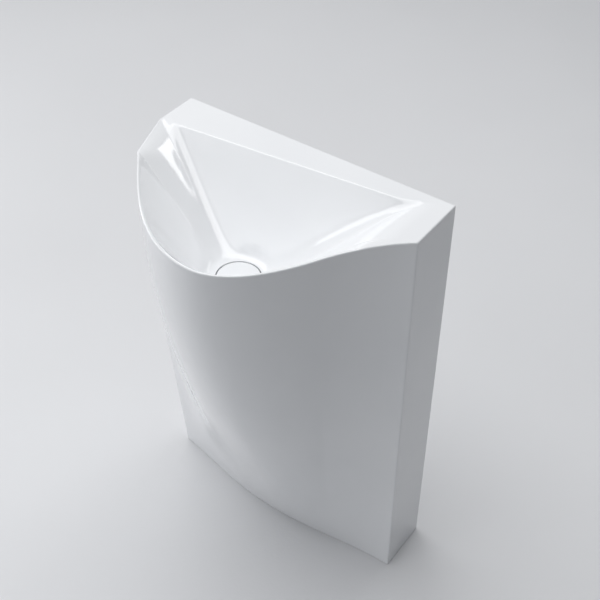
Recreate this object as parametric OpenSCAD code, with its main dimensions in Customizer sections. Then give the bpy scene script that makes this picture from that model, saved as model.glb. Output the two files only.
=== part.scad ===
// Floor-standing pedestal sink: a cast mineral shell that is basin and pedestal in one piece,
// with its pop-up waste, bottle trap and wall brackets in the open-backed hollow.
// Millimetres, +Z up. The wall is at +Y, the front bulge points to -Y, and the origin is on the
// floor at the centre of the footprint's box.

/* [Basin and pedestal] */
// Width across the two side faces
width = 550; // [520:5:580]
// Height of the rim above the floor
height = 850; // [820:5:900]
// Depth from the wall to the foremost point of the rim
depth = 374; // [350:2:400]
// Thickness of the upright walls
wall = 12; // [10:1:14]
// Thickness of the basin, measured straight down
basin_thickness = 16; // [14:1:20]
// Width of the lip between the basin's mouth and the outer edge
lip = 4; // [3:1:8]

/* [Bowl] */
// Depth of the bowl, from the rim down to the flat round the waste
bowl_depth = 126; // [110:2:135]
// Slope of the flat back plane, in degrees
back_slope = 45; // [40:1:50]
// Radius of the flat disc round the waste
floor_r = 45; // [43:1:48]

/* [Waste] */
// Diameter of the white drain cover
cover_d = 74; // [66:1:76]
// Gap round the drain cover
cover_gap = 2; // [1:0.5:3]
// Hole through the basin for the waste body
waste_hole_d = 46; // [44:1:48]
// Travel of the drain cover between shut and open
cover_travel = 9; // [6:1:10]

/* [Trap and pipes] */
// Outer diameter of the waste pipes
pipe_d = 32; // [32:1:40]
// Height of the outlet pipe's axis above the floor
outlet_h = 520; // [500:5:560]
// Outer diameter of the trap's cup
cup_d = 66; // [60:1:72]

/* [Wall brackets] */
// Height of the middle of the brackets above the floor
bracket_h = 640; // [560:5:680]
// Length of each bracket leg
bracket_leg = 42; // [36:1:50]
// Distance between the two holes in one leg
bracket_hole_spacing = 40; // [30:1:44]

/* [Hidden] */
$fn = 64;
eps = 0.05;

white = [0.93, 0.94, 0.95];
steel = [0.72, 0.73, 0.75];
brass = [0.78, 0.62, 0.32];
grey_plastic = [0.55, 0.56, 0.58];
white_plastic = [0.88, 0.88, 0.86];
black_rubber = [0.12, 0.12, 0.13];

wall_y = depth / 2;
half_w = width / 2;
sx = width / 550;
sd = depth / 374;

// ---- plan curves, as [x, distance from the wall] ----

// Front edge of the rim: left flank, rounded bulge, and the sweep back to the right corner
rim_flank = [[-240, 187], [-206, 219], [-102, 374], [24, 374]];
rim_bulge = [[24, 374], [93, 374], [142, 302], [175, 241]];
rim_sweep = [[175, 241], [194, 205], [226, 156], [275, 118]];
// The same three stretches where the pedestal meets the floor
foot_flank = [[-275, 89], [-150, 113], [-100, 134], [6, 134]];
foot_bulge = [[6, 134], [52, 134], [98, 130], [140, 124]];
foot_sweep = [[140, 124], [180, 119], [225, 114], [275, 114]];
// Where the left cheek springs from the flat side face
rim_cheek = [-275, 88];
foot_cheek = [-275, 86];
// Straight edge between the flat ledge at the wall and the bowl, left end and right end
ledge_left = [-275, 88];
ledge_right = [215, 36];
// Inner edge of the flat right-hand shoulder, front end and wall end
shoulder_front = [207, 185];
shoulder_back = [217, 0];
// Centre of the waste
drain = [6, 229];

n_side = 3;
n_cheek = 2;
n_flank = 12;
n_bulge = 10;
n_sweep = 8;
n_back = 16;
n_bowl = 9;
n_rim = 3;
n_rise = 10;
n_wall_pts = n_side * 2 + n_cheek + n_flank + n_bulge + n_sweep + 1;
n_ring = n_wall_pts + n_back - 1;

function mix(a, b, t) = a + (b - a) * t;
function clamp01(t) = min(max(t, 0), 1);
function line_pts(a, b, n) = [for (i = [0:n - 1]) mix(a, b, i / n)];
function bezier(p, t) =
    pow(1 - t, 3) * p[0] + 3 * pow(1 - t, 2) * t * p[1]
    + 3 * (1 - t) * t * t * p[2] + pow(t, 3) * p[3];
function bezier_dir(p, t) =
    pow(1 - t, 2) * (p[1] - p[0]) + 2 * (1 - t) * t * (p[2] - p[1]) + t * t * (p[3] - p[2]);
// Points along a plan curve, moved towards the wall by `inset`, square to the curve
function inset_point(p, t, inset) =
    let (d = bezier_dir(p, t))
    bezier(p, t) + inset * [d.y, -d.x] / norm(d);
function curve_pts(p, n, inset) = [for (i = [0:n - 1]) inset_point(p, i / n, inset)];

// Outline from the wall end of the left face, round the front, to the wall end of the right face
function outline(cheek, flank, bulge, sweep, inset, left_corner, right_corner) =
    let (side = half_w / sx - inset)
    concat(
        line_pts([-side, 0], cheek, n_side),
        line_pts(cheek, left_corner, n_cheek),
        [left_corner],
        [for (i = [1:n_flank - 1]) inset_point(flank, i / n_flank, inset)],
        curve_pts(bulge, n_bulge, inset),
        curve_pts(sweep, n_sweep, inset),
        line_pts(right_corner, [side, 0], n_side),
        [[side, 0]]
    );

rim_outer = outline(rim_cheek, rim_flank, rim_bulge, rim_sweep, 0, rim_flank[0], rim_sweep[3]);
foot_outer = outline(foot_cheek, foot_flank, foot_bulge, foot_sweep, 0, foot_flank[0], foot_sweep[3]);
rim_inner = outline(
    rim_cheek + [wall, -wall / 6], rim_flank, rim_bulge, rim_sweep, wall,
    rim_flank[0] + wall * [0.88, -0.6], rim_sweep[3] - wall * [1, 0.5]
);
foot_inner = outline(
    foot_cheek + wall * [1, -1.05], foot_flank, foot_bulge, foot_sweep, wall,
    foot_flank[0] + wall * [1, -0.85], foot_sweep[3] - wall * [1, 1]
);
// The outline closed along the wall, which makes the ring that the top surfaces use
function closed(pts) =
    let (a = pts[len(pts) - 1], b = pts[0])
    concat(pts, [for (i = [1:n_back - 1]) mix(a, b, i / n_back)]);
ring_outer = closed(rim_outer);
ring_inner = closed(rim_inner);

// How far the front has come out from the foot's curve to the rim's, at a height from 0 to 1
function flare(t) = 3 * pow(1 - t, 2) * t * 0.4 + 3 * (1 - t) * t * t * 1.02 + pow(t, 3);
function place(p, z) = [p.x * sx, wall_y - p.y * sd, z];

// ---- the bowl as a height over the plan ----

function cross2(a, b) = a.x * b.y - a.y * b.x;
// Fraction of the way from the waste to `p` at which the line a-b is met, or 1 if it isn't
function reach(p, a, b) =
    let (d = p - drain, e = b - a, k = cross2(d, e), t = abs(k) < 1e-6 ? 2 : cross2(a - drain, e) / k)
    (t > 0 && t < 1) ? t : 1;
function lip_reach(p) = 1 - lip / norm(p - drain);
function shoulder_reach(p) = p.x > drain.x ? reach(p, shoulder_front, shoulder_back) : 1;
function ledge_reach(p) = p.y < drain.y ? reach(p, ledge_left, ledge_right) : 1;
function shell_reach(p) = min(lip_reach(p), shoulder_reach(p));
function mouth_reach(p) = min(shell_reach(p), ledge_reach(p));

function soft_min(a, b, k) = let (h = max(k - abs(a - b), 0) / k) min(a, b) - h * h * k / 4;
function soft_max(a, b, k) = -soft_min(-a, -b, k);
// A dish that is flat at its centre and nearly straight further out, 0 to 1
bowl_round = 0.1;
function dish(t) = (sqrt(t * t + bowl_round * bowl_round) - bowl_round)
    / (sqrt(1 + bowl_round * bowl_round) - bowl_round);
ledge_dir = (ledge_right - ledge_left) / norm(ledge_right - ledge_left);
function before_ledge(p) = cross2(ledge_dir, p - ledge_left);
crease_blend = 10;
edge_blend = 4;
shoulder_blend = 24;
floor_z = height - bowl_depth;
// Height of the bowl's surface at q, which lies towards the outline point p
function bowl_z(p, q) =
    let (
        mouth_r = norm(p - drain) * shell_reach(p),
        t = max(norm(q - drain) - floor_r, 0) / (mouth_r - floor_r),
        shell = floor_z + bowl_depth * dish(t),
        back = height - tan(back_slope) * before_ledge(q),
        width_left = norm(p - drain) - mouth_r,
        on_ledge = clamp01((shoulder_reach(p) - ledge_reach(p)) * 10),
        blend = edge_blend + shoulder_blend * clamp01(width_left / 60) * (1 - on_ledge),
        flat = norm(q - drain) <= floor_r + eps
    )
    flat ? floor_z : soft_min(soft_max(shell, back, crease_blend), height, blend);

// Extra thickness under the waste
boss_extra = 10;
function boss(q) = boss_extra * clamp01((95 - norm(q - drain)) / 40);
roof_limit = 0.96;

// Plan position of ring k on the radial line from the waste to `p`; `m` is the mouth's fraction
function ring_point(p, m, k) =
    let (d = p - drain, r = norm(d))
    k <= n_bowl
        ? drain + d / r * mix(floor_r, r * m, k / n_bowl)
        : drain + d * mix(m, 1, (k - n_bowl) / n_rim);
function top_row(k) = [for (i = [0:n_ring - 1])
    let (p = ring_outer[i], q = ring_point(p, mouth_reach(p), k))
    place(q, k == n_bowl + n_rim && abs(q.y) < eps ? height : bowl_z(p, q))];
function roof_row(k) = [for (i = [0:n_ring - 1])
    let (
        p = ring_outer[i],
        r = ring_inner[i],
        m = min(mouth_reach(p) * norm(p - drain) / norm(r - drain), roof_limit),
        q = ring_point(r, m, k)
    )
    place(q, bowl_z(p, q) - basin_thickness - boss(q))];
last_row = n_bowl + n_rim;
top_rim = top_row(last_row);
roof_rim = roof_row(last_row);

function outer_row(j) = [for (i = [0:n_wall_pts - 1])
    let (t = j / n_rise)
    j == n_rise
        ? top_rim[i]
        : place(mix(foot_outer[i], rim_outer[i], flare(t)), top_rim[i].z * t)];
function inner_row(j) = [for (i = [0:n_wall_pts - 1])
    let (t = j / n_rise)
    j == n_rise
        ? roof_rim[i]
        : place(mix(foot_inner[i], rim_inner[i], flare(roof_rim[i].z * t / height)), roof_rim[i].z * t)];

function flatten(rows) = [for (row = rows) each row];
// Triangles between two rows of points that start at index a and b; `n` steps along them
function strip(a, b, n) = [for (i = [0:n - 1])
    each [[a + i, b + i, b + i + 1], [a + i, b + i + 1, a + i + 1]]];
// The same for two closed rings of n points
function band(a, b, n) = [for (i = [0:n - 1])
    let (j = (i + 1) % n)
    each [[a + i, b + i, b + j], [a + i, b + j, a + j]]];
function turned(faces) = [for (f = faces) [f[2], f[1], f[0]]];

module shell() {
    outer = flatten([for (j = [0:n_rise]) outer_row(j)]);
    inner = flatten([for (j = [0:n_rise]) inner_row(j)]);
    top = flatten([for (k = [0:last_row]) top_row(k)]);
    roof = flatten([for (k = [0:last_row]) roof_row(k)]);
    w = n_wall_pts;
    n = n_ring;
    i0 = len(outer);
    t0 = i0 + len(inner);
    r0 = t0 + len(top);
    rise = [for (j = [0:n_rise - 1]) each strip(j * w, (j + 1) * w, w - 1)];
    rise_in = [for (j = [0:n_rise - 1]) each strip(i0 + j * w, i0 + (j + 1) * w, w - 1)];
    top_faces = [for (k = [0:last_row - 1]) each band(t0 + k * n, t0 + (k + 1) * n, n)];
    roof_faces = [for (k = [0:last_row - 1]) each band(r0 + k * n, r0 + (k + 1) * n, n)];
    foot = strip(0, i0, w - 1);
    left_leg = [for (j = [0:n_rise - 1])
        let (a = j * w, b = a + w, c = i0 + a, d = i0 + b)
        each [[a, c, d], [a, d, b]]];
    right_leg = [for (j = [0:n_rise - 1])
        let (a = j * w + w - 1, b = a + w, c = i0 + a, d = i0 + b)
        each [[a, d, c], [a, b, d]]];
    rim_start = t0 + last_row * n;
    roof_start = r0 + last_row * n;
    ledge = [for (i = [w - 1:n - 1])
        let (j = (i + 1) % n)
        each [
            [rim_start + i, roof_start + j, roof_start + i],
            [rim_start + i, rim_start + j, roof_start + j]
        ]];
    polyhedron(
        points = concat(outer, inner, top, roof),
        faces = concat(
            rise, turned(rise_in), turned(top_faces), roof_faces, turned(foot),
            left_leg, right_leg, ledge,
            [[for (i = [n - 1:-1:0]) t0 + i]], [[for (i = [0:n - 1]) r0 + i]]
        ),
        convexity = 8
    );
}

// ---- sizes of the fittings, worked out from the drain downwards ----

drain_x = drain.x * sx;
drain_y = wall_y - drain.y * sd;
recess_depth = 12;
recess_z = floor_z - recess_depth;
boss_z = floor_z - basin_thickness - boss_extra;
cover_r = cover_d / 2;
cover_thickness = 4.5;
cover_z = floor_z - cover_thickness;
cap_z = cover_z - 1.6;
flange_gasket_t = 1.8;
flange_z = recess_z + flange_gasket_t;
flange_t = 2.5;
flange_r = 33;
seal_z = flange_z + flange_t + eps;
waste_r = 20.75;
waste_bore_r = 17.5;
waste_end_z = floor_z - 84;
running_gap = 0.25;
gasket_z = boss_z - 6;
washer_z = gasket_z - 2;
locknut_z = washer_z - 11;

housing_r = 8;
housing_bore_r = 5;
housing_top = flange_z - 6;
housing_end = housing_top - 50;
housing_lip = 3;
housing_floor = 2;
stem_r = 2.5;
plunger_r = 4.6;
plunger_len = 12;
plunger_teeth = 3;
plunger_top = housing_top - housing_lip - cover_travel - 0.6;
cam_r = 4.2;
cam_h = 5.5;
cam_z = plunger_top - plunger_len - plunger_teeth - cam_h - 0.3;
spring_r = 3.2;
spring_wire = 0.45;
spring_z = housing_end + housing_floor;
spring_turns = 5;
spring_steps = 12;
spring_sides = 6;
web_t = 2.4;

pipe_r = pipe_d / 2;
pipe_wall = 1.5;
bore_r = pipe_r - pipe_wall;
tail_top = waste_end_z + 18;
collar_z = outlet_h + 21;
collar_h = 3;
tail_end = collar_z + collar_h;
trap_head_r = 29;
trap_top = outlet_h + 40;
trap_floor = outlet_h - 34;
cup_r = cup_d / 2;
cup_top = trap_floor - 1.6;
cup_h = 78;
dip_r = pipe_r - 2.5;
dip_end = trap_floor - cup_h * 0.62;
nut_r = 24;
nut_h = 18;
port_len = 44;
port_y = drain_y + port_len;
outlet_start = drain_y + trap_head_r + 2;
rosette_depth = 12;
rosette_t = 1.5;
rosette_r = 40;
stop_bead_r = pipe_r + 1.2;
stop_bead_w = 1.5;
socket_depth = 8.5;

leg_t = 3;
bracket_w = 64;
insert_r = 4;
insert_len = 9;
screw_r = 2.5;
wall_hole_r = 4.25;
inner_x = half_w - wall * sx;
bracket_hole_y = wall_y - bracket_leg * 0.6;
bracket_hole_x = inner_x - bracket_leg * 0.6;
bracket_hole_zs = [for (s = [-1, 1]) bracket_h + s * bracket_hole_spacing / 2];

module at_drain(z) translate([drain_x, drain_y, z]) children();
module tube(r_out, r_in, h) difference() {
    cylinder(h = h, r = r_out);
    translate([0, 0, -1]) cylinder(h = h + 2, r = r_in);
}
// A ring turned from a profile of [radius, height] points
module turned_ring(profile) rotate_extrude() polygon(profile);
module ribbed_nut(r, bore, h, ribs) difference() {
    union() {
        cylinder(h = h, r = r);
        for (i = [0:ribs - 1]) rotate(i * 360 / ribs)
            translate([r - 1, -1.5, 0]) cube([3, 3, h]);
    }
    translate([0, 0, -1]) cylinder(h = h + 2, r = bore);
}

// ---- sub-parts ----

module basin_pedestal() color(white) difference() {
    shell();
    at_drain(recess_z) cylinder(h = recess_depth + 1, r = cover_r + cover_gap);
    at_drain(boss_z - 1) cylinder(h = basin_thickness + 20, r = waste_hole_d / 2);
    for (z = bracket_hole_zs, s = [-1, 1])
        translate([s * (inner_x - 1), bracket_hole_y, z])
            rotate([0, s * 90, 0]) cylinder(h = insert_len + 1.5, r = insert_r);
}

module drain_cover() color(white) at_drain(cover_z) turned_ring([
    [0, 0], [cover_r - 1.2, 0], [cover_r - 0.2, 1], [cover_r, 1.6], [cover_r, cover_thickness - 1.4],
    [cover_r - 0.4, cover_thickness - 0.5], [cover_r - 1.4, cover_thickness - 0.1],
    [cover_r - 3, cover_thickness], [0, cover_thickness]
]);

module cover_cap() color(steel) at_drain(cap_z) difference() {
    union() {
        cylinder(h = cover_z - cap_z, r = cover_r - 5);
        translate([0, 0, -6]) cylinder(h = 6.5, r = 6);
    }
    translate([0, 0, -7]) cylinder(h = 7.6, r = stem_r);
}

module cover_seal() color(black_rubber) at_drain(seal_z) turned_ring([
    [23, cap_z - seal_z], [22, cap_z - seal_z - 0.8], [24, 0.4], [26, 0], [28.5, 0],
    [30, 0.6], [30, cap_z - seal_z]
]);

module cover_stem() color(brass) at_drain(plunger_top - 5)
    cylinder(h = cap_z - plunger_top + 5.6, r = stem_r);

module cartridge_plunger() color(white_plastic) at_drain(plunger_top - plunger_len) difference() {
    union() {
        cylinder(h = plunger_len, r = plunger_r);
        for (a = [0:90:270]) rotate(a + 45)
            translate([2, -0.6, -plunger_teeth]) cube([2, 1.2, plunger_teeth + 0.5]);
    }
    translate([0, 0, plunger_len - 5]) cylinder(h = 6, r = stem_r);
}

module cartridge_cam() color(grey_plastic) at_drain(cam_z) difference() {
    union() {
        cylinder(h = cam_h - 1.5, r = cam_r);
        for (a = [0:90:270]) rotate(a) translate([2.4, -0.6, 0]) cube([2, 1.2, cam_h]);
    }
    translate([0, 0, -1]) cylinder(h = 8, r = 1.6);
}

// A coil of round wire: one ring of points for each step along the turns
module cartridge_spring() color(steel) at_drain(spring_z) {
    steps = spring_turns * spring_steps;
    rise = cam_z - spring_z - 2 * (spring_wire + eps);
    points = [for (i = [0:steps], k = [0:spring_sides - 1])
        let (
            turn = 360 * i / spring_steps,
            side = 360 * k / spring_sides,
            r = spring_r + spring_wire * cos(side)
        )
        [r * cos(turn), r * sin(turn), spring_wire + eps + rise * i / steps + spring_wire * sin(side)]];
    last = steps * spring_sides;
    polyhedron(
        points = points,
        faces = concat(
            [for (i = [0:steps - 1]) each band(i * spring_sides, (i + 1) * spring_sides, spring_sides)],
            [[for (k = [0:spring_sides - 1]) k]],
            [[for (k = [spring_sides - 1:-1:0]) last + k]]
        )
    );
}

module cartridge_housing() color(white_plastic) at_drain(housing_end) difference() {
    cylinder(h = housing_top - housing_end, r = housing_r);
    translate([0, 0, housing_floor])
        cylinder(h = housing_top - housing_end - housing_floor - housing_lip, r = housing_bore_r);
    translate([0, 0, housing_floor + 10]) cylinder(h = 60, r = stem_r + 0.3);
}

module waste_body() color(steel) at_drain(0) {
    difference() {
        union() {
            translate([0, 0, waste_end_z]) cylinder(h = flange_z - waste_end_z + 1, r = waste_r);
            translate([0, 0, flange_z]) cylinder(h = flange_t, r = flange_r);
        }
        translate([0, 0, waste_end_z - 1]) cylinder(h = 120, r = waste_bore_r);
        translate([0, 0, flange_z - 1.5]) cylinder(h = 5, r1 = waste_bore_r, r2 = waste_bore_r + 5);
    }
    difference() {
        for (a = [90, 210, 330]) rotate(a)
            translate([0, -web_t / 2, housing_top - 14]) cube([waste_bore_r + 1, web_t, 10]);
        translate([0, 0, housing_top - 15]) cylinder(h = 12, r = housing_r);
    }
}

module flange_gasket() color(black_rubber) at_drain(recess_z)
    tube(flange_r - 1, waste_r + running_gap, flange_gasket_t);

module under_gasket() color(black_rubber) at_drain(gasket_z) turned_ring([
    [waste_r + running_gap, 0], [33, 0], [33, 4], [30, 6], [waste_r + running_gap, 6]
]);

module friction_washer() color(white_plastic) at_drain(washer_z)
    tube(32, waste_r + running_gap, 2);

module waste_locknut() color(brass) at_drain(locknut_z)
    ribbed_nut(28, waste_r + running_gap, 11, 8);

module tailpiece_washer() color(black_rubber) at_drain(waste_end_z + 4)
    tube(waste_bore_r, pipe_r, 3);

module tailpiece() color(steel) at_drain(tail_end) tube(pipe_r, bore_r, tail_top - tail_end);

module trap_inlet_nut() color(steel) at_drain(trap_top + 2 - nut_h / 2)
    difference() {
        ribbed_nut(nut_r, pipe_r + running_gap, nut_h, 12);
        translate([0, 0, -1]) cylinder(h = nut_h - 3, r = nut_r - 3);
    }

module trap_inlet_washer() color(black_rubber) at_drain(trap_top)
    tube(nut_r - 4, pipe_r + running_gap / 2, 5);

module trap_body() color(steel) difference() {
    union() {
        at_drain(trap_floor) cylinder(h = trap_top - trap_floor - 14, r = trap_head_r);
        at_drain(trap_top - 15) cylinder(h = 15, r = nut_r - 3.4);
        translate([drain_x, drain_y, outlet_h]) rotate([-90, 0, 0]) cylinder(h = port_len, r = nut_r - 3.4);
    }
    at_drain(trap_floor - 1) cylinder(h = collar_z - 4 - trap_floor, r = trap_head_r - 3);
    at_drain(collar_z - 10) cylinder(h = 20, r = dip_r + running_gap);
    at_drain(collar_z) cylinder(h = 40, r = pipe_r + 0.4);
    translate([drain_x, drain_y + trap_head_r - 5, outlet_h])
        rotate([-90, 0, 0]) cylinder(h = port_len, r = pipe_r + 0.4);
}

module trap_dip_tube() color(grey_plastic) at_drain(dip_end) turned_ring([
    [dip_r - pipe_wall, 0], [dip_r, 0], [dip_r, collar_z - dip_end], [pipe_r, collar_z - dip_end],
    [pipe_r, tail_end - dip_end], [dip_r - pipe_wall, tail_end - dip_end]
]);

module trap_cup() color(steel) at_drain(cup_top - cup_h) difference() {
    rotate_extrude() polygon([
        [0, 0], [cup_r - 12, 0], [cup_r - 5, 2], [cup_r - 1.5, 6], [cup_r, 12],
        [cup_r, cup_h + 12], [0, cup_h + 12]
    ]);
    translate([0, 0, 4]) cylinder(h = cup_h - 4 + 0.01, r = cup_r - 6);
    translate([0, 0, cup_h]) cylinder(h = 13, r = trap_head_r + running_gap);
}

module trap_cup_seal() color(black_rubber) at_drain(cup_top)
    tube(trap_head_r - 0.2, trap_head_r - 3, trap_floor - cup_top);

module trap_outlet_nut() color(steel) translate([drain_x, port_y - nut_h / 2 + 2, outlet_h])
    rotate([-90, 0, 0]) difference() {
        ribbed_nut(nut_r, pipe_r + running_gap, nut_h, 12);
        translate([0, 0, -1]) cylinder(h = nut_h - 3, r = nut_r - 3);
    }

module trap_outlet_washer() color(black_rubber) translate([drain_x, port_y, outlet_h])
    rotate([-90, 0, 0]) tube(nut_r - 4, pipe_r + running_gap / 2, 5);

// The bead stops the pipe in the wall socket, whose depth is the stretch of pipe behind it
module outlet_pipe() color(steel) translate([drain_x, outlet_start, outlet_h])
    rotate([-90, 0, 0]) difference() {
        union() {
            cylinder(h = wall_y - outlet_start, r = pipe_r);
            translate([0, 0, wall_y - outlet_start - socket_depth - stop_bead_w])
                cylinder(h = stop_bead_w, r = stop_bead_r);
        }
        translate([0, 0, -1]) cylinder(h = wall_y - outlet_start + 2, r = bore_r);
    }

// A thin dome, hollow towards the wall, so that the wall socket's collar fits under it
module wall_rosette() color(steel) translate([drain_x, wall_y, outlet_h])
    rotate([90, 0, 0]) turned_ring([
        [rosette_r - 2, 0], [rosette_r, 0], [rosette_r, 1.5], [rosette_r - 7, rosette_depth - 3],
        [rosette_r - 14, rosette_depth - 0.5], [pipe_r + running_gap + 1, rosette_depth],
        [pipe_r + running_gap, rosette_depth], [pipe_r + running_gap, rosette_depth - rosette_t],
        [rosette_r - 15, rosette_depth - rosette_t - 0.3], [rosette_r - 8.4, rosette_depth - 4.2]
    ]);

// An angle bracket in the corner of a side wall and the room's wall; side is -1 left, 1 right
module bracket(side) difference() {
    union() {
        translate([side * inner_x - (side > 0 ? leg_t : 0), wall_y - bracket_leg, bracket_h - bracket_w / 2])
            cube([leg_t, bracket_leg, bracket_w]);
        translate([side > 0 ? inner_x - bracket_leg : -inner_x, wall_y - leg_t, bracket_h - bracket_w / 2])
            cube([bracket_leg, leg_t, bracket_w]);
    }
    for (z = bracket_hole_zs) {
        translate([side * (inner_x - 10), bracket_hole_y, z])
            rotate([0, side * 90, 0]) cylinder(h = 20, r = screw_r + 0.3);
        translate([side * bracket_hole_x, wall_y - 10, z])
            rotate([-90, 0, 0]) cylinder(h = 20, r = wall_hole_r);
    }
}
module bracket_left() color(steel) bracket(-1);
module bracket_right() color(steel) bracket(1);

module bracket_inserts() color(brass) for (z = bracket_hole_zs, s = [-1, 1])
    translate([s * inner_x, bracket_hole_y, z])
        rotate([0, s * 90, 0]) tube(insert_r, screw_r, insert_len);

module bracket_screws() color(steel) for (z = bracket_hole_zs, s = [-1, 1])
    translate([s * (inner_x - leg_t), bracket_hole_y, z]) rotate([0, s * 90, 0]) difference() {
        union() {
            cylinder(h = 10, r = screw_r);
            translate([0, 0, -3]) cylinder(h = 3, r = 4.5);
        }
        translate([0, 0, -4]) cylinder(h = 3, r = 1.7, $fn = 6);
    }

basin_pedestal();
drain_cover();
cover_cap();
cover_seal();
cover_stem();
cartridge_plunger();
cartridge_cam();
cartridge_spring();
cartridge_housing();
waste_body();
flange_gasket();
under_gasket();
friction_washer();
waste_locknut();
tailpiece_washer();
tailpiece();
trap_inlet_nut();
trap_inlet_washer();
trap_body();
trap_dip_tube();
trap_cup();
trap_cup_seal();
trap_outlet_nut();
trap_outlet_washer();
outlet_pipe();
wall_rosette();
bracket_left();
bracket_right();
bracket_inserts();
bracket_screws();
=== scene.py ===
"""The looks of a pedestal sink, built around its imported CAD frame. Metres, +Z up, the room's wall at +Y."""
import math

import bmesh
import bpy
import numpy as np
from mathutils import Matrix, Vector

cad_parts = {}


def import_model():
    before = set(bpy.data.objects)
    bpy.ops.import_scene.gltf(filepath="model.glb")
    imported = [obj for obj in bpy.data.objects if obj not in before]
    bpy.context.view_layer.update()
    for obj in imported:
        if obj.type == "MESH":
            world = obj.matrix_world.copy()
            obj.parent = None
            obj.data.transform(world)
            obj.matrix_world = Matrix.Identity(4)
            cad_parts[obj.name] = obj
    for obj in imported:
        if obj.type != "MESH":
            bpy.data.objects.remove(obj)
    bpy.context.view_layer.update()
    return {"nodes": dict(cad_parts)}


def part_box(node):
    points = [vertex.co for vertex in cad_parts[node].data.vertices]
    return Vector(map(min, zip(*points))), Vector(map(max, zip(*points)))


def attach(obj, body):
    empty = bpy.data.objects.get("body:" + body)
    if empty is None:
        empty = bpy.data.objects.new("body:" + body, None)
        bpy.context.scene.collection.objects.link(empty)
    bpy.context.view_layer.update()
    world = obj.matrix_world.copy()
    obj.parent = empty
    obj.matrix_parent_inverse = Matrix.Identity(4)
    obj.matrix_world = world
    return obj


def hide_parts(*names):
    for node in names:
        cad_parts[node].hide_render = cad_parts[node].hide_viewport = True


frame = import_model()

MM = 0.001
NEARLY_ZERO = 1e-9

# ---- places taken from the frame ----

BASIN_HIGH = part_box("basin_pedestal")[1]
WALL_Y = BASIN_HIGH.y
HEIGHT = BASIN_HIGH.z
HALF_WIDTH = BASIN_HIGH.x
WASTE_LOW, WASTE_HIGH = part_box("waste_body")
DRAIN_X = (WASTE_LOW.x + WASTE_HIGH.x) / 2
DRAIN_Y = (WASTE_LOW.y + WASTE_HIGH.y) / 2
PIPE_LOW, PIPE_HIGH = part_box("outlet_pipe")
OUTLET_Z = (PIPE_LOW.z + PIPE_HIGH.z) / 2

# ---- sizes of the shell ----

WALL_T = 12 * MM
BASIN_T = 16 * MM
LIP = 4 * MM
RIM_ROUND = 3 * MM
FOOT_ROUND = 2 * MM
CORNER_SOFTENING = 5 * MM
BOWL_DEPTH = 126 * MM
BACK_SLOPE = math.tan(math.radians(45))
FLOOR_R = 45 * MM
FLOOR_EASE = 20 * MM
FLOOR_Z = HEIGHT - BOWL_DEPTH
LEDGE_Z = HEIGHT - BASIN_T
BOSS_EXTRA = 10 * MM
BOSS_R = 95 * MM
BOSS_SLOPE = 40 * MM
BOWL_ROUND = 0.1
CREASE_BLEND = 10 * MM
EDGE_BLEND = 2 * MM
SHOULDER_BLEND = 24 * MM
SHOULDER_REACH = 60 * MM
LEDGE_FADE = 10
VALLEY_BLEND = 34 * MM
VALLEY_REACH = 240 * MM
VALLEY_START = 0.3
VALLEY_DEEPENING = 1.5
CHEEK_LIP = 30 * MM
CHEEK_TILT = 0.2
CHEEK_START = 0.25
EVENING = math.radians(16)
DIRECTIONS = 1440
FLARE_LOW = 0.4
FLARE_HIGH = 1.02
RECESS_R = 39 * MM
RECESS_Z = FLOOR_Z - 12 * MM
WASTE_HOLE_R = 23 * MM
WASTE_COLLAR_R = WASTE_HOLE_R + 4 * MM


def plan(*points):
    """Plan points in millimetres, [x, distance from the wall], as an array in metres."""
    return np.array(points, float) * MM


# Front edge at the rim and at the floor: flank, bulge and sweep, as cubic control points.
# `cheek` is where the narrow left facet springs from the side; `inner` are the inside corners.
RIM = {
    "curves": [
        plan((-240, 187), (-206, 219), (-102, 374), (24, 374)),
        plan((24, 374), (93, 374), (142, 302), (175, 241)),
        plan((175, 241), (194, 205), (226, 156), (275, 118)),
    ],
    "cheek": plan((-275, 88))[0],
    "inner": plan((-263, 86), (-229.4, 179.8), (263, 112)),
}
FOOT = {
    "curves": [
        plan((-275, 89), (-150, 113), (-100, 134), (6, 134)),
        plan((6, 134), (52, 134), (98, 130), (140, 124)),
        plan((140, 124), (180, 119), (225, 114), (275, 114)),
    ],
    "cheek": plan((-275, 86))[0],
    "inner": plan((-263, 73.4), (-263, 78.8), (263, 102)),
}
LEDGE_LEFT, LEDGE_RIGHT = plan((-275, 88), (215, 36))
SHOULDER_FRONT, SHOULDER_BACK = plan((207, 185), (217, 0))
DRAIN = np.array([DRAIN_X, WALL_Y - DRAIN_Y])


# ---- mesh helpers ----

SHARP_ANGLE = 35
WELD = 2e-6
SLIVER = 1e-6
ON_AXIS = 1e-6


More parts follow.
